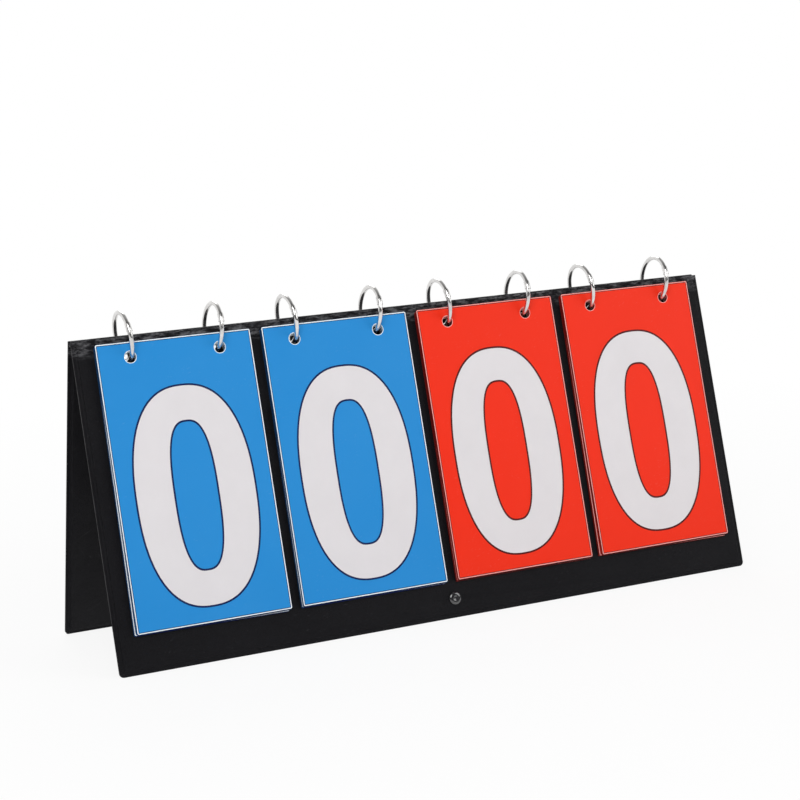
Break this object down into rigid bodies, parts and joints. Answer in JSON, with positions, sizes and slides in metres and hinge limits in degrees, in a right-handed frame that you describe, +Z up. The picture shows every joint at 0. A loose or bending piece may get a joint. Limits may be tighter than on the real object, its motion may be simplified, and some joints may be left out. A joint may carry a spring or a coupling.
{
  "type": "tabletop flip scoreboard",
  "caption": "Folding vinyl easel scoreboard with blue and red number cards hung on hinged split rings over its front board.",
  "frame": {"origin": "on the table, midway along the board and midway between the two feet", "axes": "+X along the board to the right, +Y from the front leaf to the back leaf, +Z up"},
  "size_m": [0.38, 0.0932, 0.1794],
  "materials": {
    "cover_vinyl": "black embossed vinyl with a low sheen",
    "core_board": "grey bookbinder's board",
    "blue_card": "printed plastic sheet, blue with a pale number",
    "red_card": "printed plastic sheet, red with a pale number",
    "ring_steel": "nickel plated, bright",
    "strap_vinyl": "black vinyl strap",
    "rivet_steel": "black lacquered steel"
  },
  "bodies": {
    "front_leaf": {"front_core_board": "core_board", "front_outer_vinyl": "cover_vinyl", "front_inner_vinyl": "cover_vinyl", "front_strap_rivet": "rivet_steel", "front_rivet_washer": "rivet_steel", "brace_strap": "strap_vinyl", "ridge_fold": "cover_vinyl"},
    "back_leaf": {"back_core_board": "core_board", "back_outer_vinyl": "cover_vinyl", "back_inner_vinyl": "cover_vinyl", "back_strap_rivet": "rivet_steel", "back_rivet_washer": "rivet_steel"},
    "blue_tens_card_0": {"blue_tens_card_0": "blue_card"},
    "blue_tens_card_1": {"blue_tens_card_1": "blue_card"},
    "blue_tens_card_2": {"blue_tens_card_2": "blue_card"},
    "blue_tens_card_3": {"blue_tens_card_3": "blue_card"},
    "blue_tens_card_4": {"blue_tens_card_4": "blue_card"},
    "blue_tens_card_5": {"blue_tens_card_5": "blue_card"},
    "blue_tens_card_6": {"blue_tens_card_6": "blue_card"},
    "blue_tens_card_7": {"blue_tens_card_7": "blue_card"},
    "blue_tens_card_8": {"blue_tens_card_8": "blue_card"},
    "blue_tens_card_9": {"blue_tens_card_9": "blue_card"},
    "blue_tens_ring_left": {"blue_tens_ring_left": "ring_steel"},
    "blue_tens_ring_right": {"blue_tens_ring_right": "ring_steel"},
    "blue_ones_card_0": {"blue_ones_card_0": "blue_card"},
    "blue_ones_card_1": {"blue_ones_card_1": "blue_card"},
    "blue_ones_card_2": {"blue_ones_card_2": "blue_card"},
    "blue_ones_card_3": {"blue_ones_card_3": "blue_card"},
    "blue_ones_card_4": {"blue_ones_card_4": "blue_card"},
    "blue_ones_card_5": {"blue_ones_card_5": "blue_card"},
    "blue_ones_card_6": {"blue_ones_card_6": "blue_card"},
    "blue_ones_card_7": {"blue_ones_card_7": "blue_card"},
    "blue_ones_card_8": {"blue_ones_card_8": "blue_card"},
    "blue_ones_card_9": {"blue_ones_card_9": "blue_card"},
    "blue_ones_ring_left": {"blue_ones_ring_left": "ring_steel"},
    "blue_ones_ring_right": {"blue_ones_ring_right": "ring_steel"},
    "red_tens_card_0": {"red_tens_card_0": "red_card"},
    "red_tens_card_1": {"red_tens_card_1": "red_card"},
    "red_tens_card_2": {"red_tens_card_2": "red_card"},
    "red_tens_card_3": {"red_tens_card_3": "red_card"},
    "red_tens_card_4": {"red_tens_card_4": "red_card"},
    "red_tens_card_5": {"red_tens_card_5": "red_card"},
    "red_tens_card_6": {"red_tens_card_6": "red_card"},
    "red_tens_card_7": {"red_tens_card_7": "red_card"},
    "red_tens_card_8": {"red_tens_card_8": "red_card"},
    "red_tens_card_9": {"red_tens_card_9": "red_card"},
    "red_tens_ring_left": {"red_tens_ring_left": "ring_steel"},
    "red_tens_ring_right": {"red_tens_ring_right": "ring_steel"},
    "red_ones_card_0": {"red_ones_card_0": "red_card"},
    "red_ones_card_1": {"red_ones_card_1": "red_card"},
    "red_ones_card_2": {"red_ones_card_2": "red_card"},
    "red_ones_card_3": {"red_ones_card_3": "red_card"},
    "red_ones_card_4": {"red_ones_card_4": "red_card"},
    "red_ones_card_5": {"red_ones_card_5": "red_card"},
    "red_ones_card_6": {"red_ones_card_6": "red_card"},
    "red_ones_card_7": {"red_ones_card_7": "red_card"},
    "red_ones_card_8": {"red_ones_card_8": "red_card"},
    "red_ones_card_9": {"red_ones_card_9": "red_card"},
    "red_ones_ring_left": {"red_ones_ring_left": "ring_steel"},
    "red_ones_ring_right": {"red_ones_ring_right": "ring_steel"}
  },
  "joints": [
    {"name": "back_leaf_fold", "type": "hinge", "parent": "front_leaf", "child": "back_leaf", "pos_m": [0, 0, 0.16539], "axis": [-1, 0, 0], "range_deg": [0, 27.6], "deforming": ["brace_strap", "ridge_fold"]},
    {"name": "blue_tens_flip_0", "type": "hinge", "parent": "blue_tens_card_1", "child": "blue_tens_card_0", "pos_m": [0, 0, 0.16539], "axis": [-1, 0, 0], "range_deg": [0, 240]},
    {"name": "blue_tens_flip_1", "type": "hinge", "parent": "blue_tens_card_2", "child": "blue_tens_card_1", "pos_m": [0, 0, 0.16539], "axis": [-1, 0, 0], "range_deg": [0, 240]},
    {"name": "blue_tens_flip_2", "type": "hinge", "parent": "blue_tens_card_3", "child": "blue_tens_card_2", "pos_m": [0, 0, 0.16539], "axis": [-1, 0, 0], "range_deg": [0, 240]},
    {"name": "blue_tens_flip_3", "type": "hinge", "parent": "blue_tens_card_4", "child": "blue_tens_card_3", "pos_m": [0, 0, 0.16539], "axis": [-1, 0, 0], "range_deg": [0, 240]},
    {"name": "blue_tens_flip_4", "type": "hinge", "parent": "blue_tens_card_5", "child": "blue_tens_card_4", "pos_m": [0, 0, 0.16539], "axis": [-1, 0, 0], "range_deg": [0, 240]},
    {"name": "blue_tens_flip_5", "type": "hinge", "parent": "blue_tens_card_6", "child": "blue_tens_card_5", "pos_m": [0, 0, 0.16539], "axis": [-1, 0, 0], "range_deg": [0, 240]},
    {"name": "blue_tens_flip_6", "type": "hinge", "parent": "blue_tens_card_7", "child": "blue_tens_card_6", "pos_m": [0, 0, 0.16539], "axis": [-1, 0, 0], "range_deg": [0, 240]},
    {"name": "blue_tens_flip_7", "type": "hinge", "parent": "blue_tens_card_8", "child": "blue_tens_card_7", "pos_m": [0, 0, 0.16539], "axis": [-1, 0, 0], "range_deg": [0, 240]},
    {"name": "blue_tens_flip_8", "type": "hinge", "parent": "blue_tens_card_9", "child": "blue_tens_card_8", "pos_m": [0, 0, 0.16539], "axis": [-1, 0, 0], "range_deg": [0, 240]},
    {"name": "blue_tens_flip_9", "type": "hinge", "parent": "front_leaf", "child": "blue_tens_card_9", "pos_m": [0, 0, 0.16539], "axis": [-1, 0, 0], "range_deg": [0, 240]},
    {"name": "blue_tens_ring_left_lean", "type": "hinge", "parent": "front_leaf", "child": "blue_tens_ring_left", "pos_m": [-0.16006, 0, 0.15439], "axis": [0, 1, 0], "range_deg": [-45, 0]},
    {"name": "blue_tens_ring_right_lean", "type": "hinge", "parent": "front_leaf", "child": "blue_tens_ring_right", "pos_m": [-0.11264, 0, 0.15439], "axis": [0, -1, 0], "range_deg": [-45, 0]},
    {"name": "blue_ones_flip_0", "type": "hinge", "parent": "blue_ones_card_1", "child": "blue_ones_card_0", "pos_m": [0, 0, 0.16539], "axis": [-1, 0, 0], "range_deg": [0, 240]},
    {"name": "blue_ones_flip_1", "type": "hinge", "parent": "blue_ones_card_2", "child": "blue_ones_card_1", "pos_m": [0, 0, 0.16539], "axis": [-1, 0, 0], "range_deg": [0, 240]},
    {"name": "blue_ones_flip_2", "type": "hinge", "parent": "blue_ones_card_3", "child": "blue_ones_card_2", "pos_m": [0, 0, 0.16539], "axis": [-1, 0, 0], "range_deg": [0, 240]},
    {"name": "blue_ones_flip_3", "type": "hinge", "parent": "blue_ones_card_4", "child": "blue_ones_card_3", "pos_m": [0, 0, 0.16539], "axis": [-1, 0, 0], "range_deg": [0, 240]},
    {"name": "blue_ones_flip_4", "type": "hinge", "parent": "blue_ones_card_5", "child": "blue_ones_card_4", "pos_m": [0, 0, 0.16539], "axis": [-1, 0, 0], "range_deg": [0, 240]},
    {"name": "blue_ones_flip_5", "type": "hinge", "parent": "blue_ones_card_6", "child": "blue_ones_card_5", "pos_m": [0, 0, 0.16539], "axis": [-1, 0, 0], "range_deg": [0, 240]},
    {"name": "blue_ones_flip_6", "type": "hinge", "parent": "blue_ones_card_7", "child": "blue_ones_card_6", "pos_m": [0, 0, 0.16539], "axis": [-1, 0, 0], "range_deg": [0, 240]},
    {"name": "blue_ones_flip_7", "type": "hinge", "parent": "blue_ones_card_8", "child": "blue_ones_card_7", "pos_m": [0, 0, 0.16539], "axis": [-1, 0, 0], "range_deg": [0, 240]},
    {"name": "blue_ones_flip_8", "type": "hinge", "parent": "blue_ones_card_9", "child": "blue_ones_card_8", "pos_m": [0, 0, 0.16539], "axis": [-1, 0, 0], "range_deg": [0, 240]},
    {"name": "blue_ones_flip_9", "type": "hinge", "parent": "front_leaf", "child": "blue_ones_card_9", "pos_m": [0, 0, 0.16539], "axis": [-1, 0, 0], "range_deg": [0, 240]},
    {"name": "blue_ones_ring_left_lean", "type": "hinge", "parent": "front_leaf", "child": "blue_ones_ring_left", "pos_m": [-0.06856, 0, 0.15439], "axis": [0, 1, 0], "range_deg": [-45, 0]},
    {"name": "blue_ones_ring_right_lean", "type": "hinge", "parent": "front_leaf", "child": "blue_ones_ring_right", "pos_m": [-0.02114, 0, 0.15439], "axis": [0, -1, 0], "range_deg": [-45, 0]},
    {"name": "red_tens_flip_0", "type": "hinge", "parent": "red_tens_card_1", "child": "red_tens_card_0", "pos_m": [0, 0, 0.16539], "axis": [-1, 0, 0], "range_deg": [0, 240]},
    {"name": "red_tens_flip_1", "type": "hinge", "parent": "red_tens_card_2", "child": "red_tens_card_1", "pos_m": [0, 0, 0.16539], "axis": [-1, 0, 0], "range_deg": [0, 240]},
    {"name": "red_tens_flip_2", "type": "hinge", "parent": "red_tens_card_3", "child": "red_tens_card_2", "pos_m": [0, 0, 0.16539], "axis": [-1, 0, 0], "range_deg": [0, 240]},
    {"name": "red_tens_flip_3", "type": "hinge", "parent": "red_tens_card_4", "child": "red_tens_card_3", "pos_m": [0, 0, 0.16539], "axis": [-1, 0, 0], "range_deg": [0, 240]},
    {"name": "red_tens_flip_4", "type": "hinge", "parent": "red_tens_card_5", "child": "red_tens_card_4", "pos_m": [0, 0, 0.16539], "axis": [-1, 0, 0], "range_deg": [0, 240]},
    {"name": "red_tens_flip_5", "type": "hinge", "parent": "red_tens_card_6", "child": "red_tens_card_5", "pos_m": [0, 0, 0.16539], "axis": [-1, 0, 0], "range_deg": [0, 240]},
    {"name": "red_tens_flip_6", "type": "hinge", "parent": "red_tens_card_7", "child": "red_tens_card_6", "pos_m": [0, 0, 0.16539], "axis": [-1, 0, 0], "range_deg": [0, 240]},
    {"name": "red_tens_flip_7", "type": "hinge", "parent": "red_tens_card_8", "child": "red_tens_card_7", "pos_m": [0, 0, 0.16539], "axis": [-1, 0, 0], "range_deg": [0, 240]},
    {"name": "red_tens_flip_8", "type": "hinge", "parent": "red_tens_card_9", "child": "red_tens_card_8", "pos_m": [0, 0, 0.16539], "axis": [-1, 0, 0], "range_deg": [0, 240]},
    {"name": "red_tens_flip_9", "type": "hinge", "parent": "front_leaf", "child": "red_tens_card_9", "pos_m": [0, 0, 0.16539], "axis": [-1, 0, 0], "range_deg": [0, 240]},
    {"name": "red_tens_ring_left_lean", "type": "hinge", "parent": "front_leaf", "child": "red_tens_ring_left", "pos_m": [0.02294, 0, 0.15439], "axis": [0, 1, 0], "range_deg": [-45, 0]},
    {"name": "red_tens_ring_right_lean", "type": "hinge", "parent": "front_leaf", "child": "red_tens_ring_right", "pos_m": [0.07036, 0, 0.15439], "axis": [0, -1, 0], "range_deg": [-45, 0]},
    {"name": "red_ones_flip_0", "type": "hinge", "parent": "red_ones_card_1", "child": "red_ones_card_0", "pos_m": [0, 0, 0.16539], "axis": [-1, 0, 0], "range_deg": [0, 240]},
    {"name": "red_ones_flip_1", "type": "hinge", "parent": "red_ones_card_2", "child": "red_ones_card_1", "pos_m": [0, 0, 0.16539], "axis": [-1, 0, 0], "range_deg": [0, 240]},
    {"name": "red_ones_flip_2", "type": "hinge", "parent": "red_ones_card_3", "child": "red_ones_card_2", "pos_m": [0, 0, 0.16539], "axis": [-1, 0, 0], "range_deg": [0, 240]},
    {"name": "red_ones_flip_3", "type": "hinge", "parent": "red_ones_card_4", "child": "red_ones_card_3", "pos_m": [0, 0, 0.16539], "axis": [-1, 0, 0], "range_deg": [0, 240]},
    {"name": "red_ones_flip_4", "type": "hinge", "parent": "red_ones_card_5", "child": "red_ones_card_4", "pos_m": [0, 0, 0.16539], "axis": [-1, 0, 0], "range_deg": [0, 240]},
    {"name": "red_ones_flip_5", "type": "hinge", "parent": "red_ones_card_6", "child": "red_ones_card_5", "pos_m": [0, 0, 0.16539], "axis": [-1, 0, 0], "range_deg": [0, 240]},
    {"name": "red_ones_flip_6", "type": "hinge", "parent": "red_ones_card_7", "child": "red_ones_card_6", "pos_m": [0, 0, 0.16539], "axis": [-1, 0, 0], "range_deg": [0, 240]},
    {"name": "red_ones_flip_7", "type": "hinge", "parent": "red_ones_card_8", "child": "red_ones_card_7", "pos_m": [0, 0, 0.16539], "axis": [-1, 0, 0], "range_deg": [0, 240]},
    {"name": "red_ones_flip_8", "type": "hinge", "parent": "red_ones_card_9", "child": "red_ones_card_8", "pos_m": [0, 0, 0.16539], "axis": [-1, 0, 0], "range_deg": [0, 240]},
    {"name": "red_ones_flip_9", "type": "hinge", "parent": "front_leaf", "child": "red_ones_card_9", "pos_m": [0, 0, 0.16539], "axis": [-1, 0, 0], "range_deg": [0, 240]},
    {"name": "red_ones_ring_left_lean", "type": "hinge", "parent": "front_leaf", "child": "red_ones_ring_left", "pos_m": [0.11444, 0, 0.15439], "axis": [0, 1, 0], "range_deg": [-45, 0]},
    {"name": "red_ones_ring_right_lean", "type": "hinge", "parent": "front_leaf", "child": "red_ones_ring_right", "pos_m": [0.16186, 0, 0.15439], "axis": [0, -1, 0], "range_deg": [-45, 0]}
  ]
}
